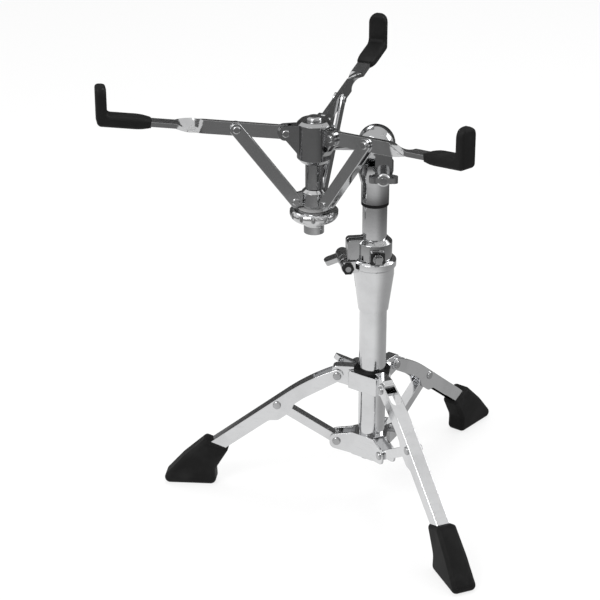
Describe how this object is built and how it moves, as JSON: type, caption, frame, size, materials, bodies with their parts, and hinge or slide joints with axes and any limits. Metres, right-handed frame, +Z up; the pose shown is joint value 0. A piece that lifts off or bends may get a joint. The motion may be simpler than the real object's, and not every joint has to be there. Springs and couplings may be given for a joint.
{
  "type": "snare drum stand",
  "caption": "Low chrome tripod stand with folding channel legs, a sliding riser tube, a ball tilter and an adjustable basket of twisted arms that grips a snare drum.",
  "frame": {"origin": "on the floor, on the axis of the base tube, midway between the three feet", "axes": "+Z up along the base tube, +X to the right of the stand's front, +Y to its back; the basket hangs out towards -X"},
  "size_m": [0.4116, 0.4165, 0.4746],
  "materials": {
    "chrome": "polished chrome plate",
    "steel": "bright zinc plate",
    "nylon": "moulded black nylon",
    "foot_rubber": "matte moulded rubber",
    "grip_rubber": "matte moulded rubber"
  },
  "bodies": {
    "base": {"base_tube": "chrome", "tube_end_plug": "nylon", "lower_collar": "chrome", "lower_collar_rivets": "chrome", "height_clamp": "chrome", "clamp_bush": "nylon", "clamp_nut": "chrome"},
    "clamp_wing": {"clamp_wing_bolt": "chrome"},
    "collar": {"upper_collar": "chrome", "collar_bush": "nylon"},
    "collar_wing": {"collar_wing_bolt": "chrome"},
    "lock": {"memory_lock": "chrome"},
    "key_bolt": {"memory_lock_key_bolt": "chrome"},
    "riser": {"riser_tube": "chrome", "riser_guide": "nylon", "tilter_base": "chrome", "tilter_jaw": "chrome", "tilter_bolt": "chrome"},
    "tilter_wing": {"tilter_wing_nut": "chrome"},
    "stem": {"ball_stem": "chrome"},
    "hub": {"basket_hub": "chrome", "spindle": "steel", "arm_pivot_pins": "chrome", "hub_cap_nut": "chrome", "stem_set_screw": "steel"},
    "slider": {"slider": "chrome", "brace_lower_pins": "chrome", "thrust_washer": "nylon"},
    "knob": {"adjusting_knob": "chrome"},
    "strut_right": {"strut_right": "chrome"},
    "leg_right": {"leg_right": "chrome", "leg_rivets_right": "chrome", "foot_right": "foot_rubber"},
    "strut_left": {"strut_left": "chrome"},
    "leg_left": {"leg_left": "chrome", "leg_rivets_left": "chrome", "foot_left": "foot_rubber"},
    "strut_front": {"strut_front": "chrome"},
    "leg_front": {"leg_front": "chrome", "leg_rivets_front": "chrome", "foot_front": "foot_rubber"},
    "arm_back": {"arm_back": "chrome", "grip_back": "grip_rubber"},
    "brace_back": {"brace_back": "chrome", "brace_pin_back": "chrome"},
    "arm_left": {"arm_left": "chrome", "grip_left": "grip_rubber"},
    "brace_left": {"brace_left": "chrome", "brace_pin_left": "chrome"},
    "arm_right": {"arm_right": "chrome", "grip_right": "grip_rubber"},
    "brace_right": {"brace_right": "chrome", "brace_pin_right": "chrome"}
  },
  "joints": [
    {"name": "clamp_wing_turn", "type": "hinge", "parent": "base", "child": "clamp_wing", "pos_m": [-0.0303, 0.00481, 0.2693], "axis": [-0.1736, 0.9848, 0], "continuous": true},
    {"name": "collar_slide", "type": "slide", "parent": "base", "child": "collar", "axis": [0, 0, 1], "range_m": [0, 0.05869]},
    {"name": "collar_wing_turn", "type": "hinge", "parent": "collar", "child": "collar_wing", "pos_m": [-0.01115, 0.02349, 0.13556], "axis": [-0.4289, 0.9033, 0], "continuous": true},
    {"name": "height_slide", "type": "slide", "parent": "base", "child": "lock", "axis": [0, 0, 1], "range_m": [0, 0.15]},
    {"name": "key_bolt_turn", "type": "hinge", "parent": "lock", "child": "key_bolt", "pos_m": [0.00391, -0.02216, 0.2828], "axis": [0.1736, -0.9848, 0], "continuous": true},
    {"name": "riser_swivel", "type": "hinge", "parent": "lock", "child": "riser", "pos_m": [0, 0, 0.2763], "axis": [0, 0, 1], "continuous": true},
    {"name": "tilter_wing_turn", "type": "hinge", "parent": "riser", "child": "tilter_wing", "pos_m": [0.008, -0.0226, 0.374], "axis": [0, -1, 0], "continuous": true},
    {"name": "basket_tilt", "type": "hinge", "parent": "riser", "child": "stem", "pos_m": [0, 0, 0.4], "axis": [0, 1, 0], "range_deg": [-12, 30]},
    {"name": "basket_roll", "type": "hinge", "parent": "stem", "child": "hub", "pos_m": [0, 0, 0.4], "axis": [1, 0, 0], "range_deg": [-20, 20]},
    {"name": "slider_slide", "type": "slide", "parent": "hub", "child": "slider", "axis": [0, 0, 1], "range_m": [0, 0.01991]},
    {"name": "knob_turn", "type": "hinge", "parent": "slider", "child": "knob", "pos_m": [-0.062, 0, 0.3315], "axis": [0, 0, 1], "continuous": true},
    {"name": "strut_right_fold", "type": "hinge", "parent": "base", "child": "strut_right", "pos_m": [0.02073, 0.03004, 0.0623], "axis": [0.8231, -0.5678, 0], "range_deg": [0, 34]},
    {"name": "leg_right_fold", "type": "hinge", "parent": "strut_right", "child": "leg_right", "pos_m": [0.05723, 0.08296, 0.10093], "axis": [0.8231, -0.5678, 0], "range_deg": [-68, 0]},
    {"name": "strut_left_fold", "type": "hinge", "parent": "base", "child": "strut_left", "pos_m": [-0.03638, 0.00293, 0.0623], "axis": [0.0802, 0.9968, 0], "range_deg": [0, 34]},
    {"name": "leg_left_fold", "type": "hinge", "parent": "strut_left", "child": "leg_left", "pos_m": [-0.10046, 0.00808, 0.10093], "axis": [0.0802, 0.9968, 0], "range_deg": [-68, 0]},
    {"name": "strut_front_fold", "type": "hinge", "parent": "base", "child": "strut_front", "pos_m": [0.01566, -0.03297, 0.0623], "axis": [-0.9033, -0.4289, 0], "range_deg": [0, 34]},
    {"name": "leg_front_fold", "type": "hinge", "parent": "strut_front", "child": "leg_front", "pos_m": [0.04323, -0.09104, 0.10093], "axis": [-0.9033, -0.4289, 0], "range_deg": [-68, 0]},
    {"name": "arm_back_swing", "type": "hinge", "parent": "hub", "child": "arm_back", "pos_m": [-0.05318, 0.02867, 0.413], "axis": [0.9558, -0.294, 0], "range_deg": [0, 38]},
    {"name": "brace_back_swing", "type": "hinge", "parent": "slider", "child": "brace_back", "pos_m": [-0.05627, 0.01864, 0.339], "axis": [0.9558, -0.294, 0], "range_deg": [0, 9.88]},
    {"name": "arm_left_swing", "type": "hinge", "parent": "hub", "child": "arm_left", "pos_m": [-0.09124, -0.0067, 0.413], "axis": [-0.2233, 0.9748, 0], "range_deg": [0, 38]},
    {"name": "brace_left_swing", "type": "hinge", "parent": "slider", "child": "brace_left", "pos_m": [-0.08101, -0.00435, 0.339], "axis": [-0.2233, 0.9748, 0], "range_deg": [0, 9.88]},
    {"name": "arm_right_swing", "type": "hinge", "parent": "hub", "child": "arm_right", "pos_m": [-0.04158, -0.02198, 0.413], "axis": [-0.7325, -0.6807, 0], "range_deg": [0, 38]},
    {"name": "brace_right_swing", "type": "hinge", "parent": "slider", "child": "brace_right", "pos_m": [-0.04873, -0.01428, 0.339], "axis": [-0.7325, -0.6807, 0], "range_deg": [0, 9.88]}
  ],
  "couplings": [
    {"joint": "strut_right_fold", "follows": "collar_slide", "rad_per_m": 10.111},
    {"joint": "leg_right_fold", "follows": "collar_slide", "rad_per_m": -20.222},
    {"joint": "strut_left_fold", "follows": "collar_slide", "rad_per_m": 10.111},
    {"joint": "leg_left_fold", "follows": "collar_slide", "rad_per_m": -20.222},
    {"joint": "strut_front_fold", "follows": "collar_slide", "rad_per_m": 10.111},
    {"joint": "leg_front_fold", "follows": "collar_slide", "rad_per_m": -20.222},
    {"joint": "arm_back_swing", "follows": "slider_slide", "rad_per_m": 33.308},
    {"joint": "brace_back_swing", "follows": "slider_slide", "rad_per_m": 8.6595},
    {"joint": "arm_left_swing", "follows": "slider_slide", "rad_per_m": 33.308},
    {"joint": "brace_left_swing", "follows": "slider_slide", "rad_per_m": 8.6595},
    {"joint": "arm_right_swing", "follows": "slider_slide", "rad_per_m": 33.308},
    {"joint": "brace_right_swing", "follows": "slider_slide", "rad_per_m": 8.6595},
    {"joint": "knob_turn", "follows": "slider_slide", "rad_per_m": 1570.8}
  ]
}
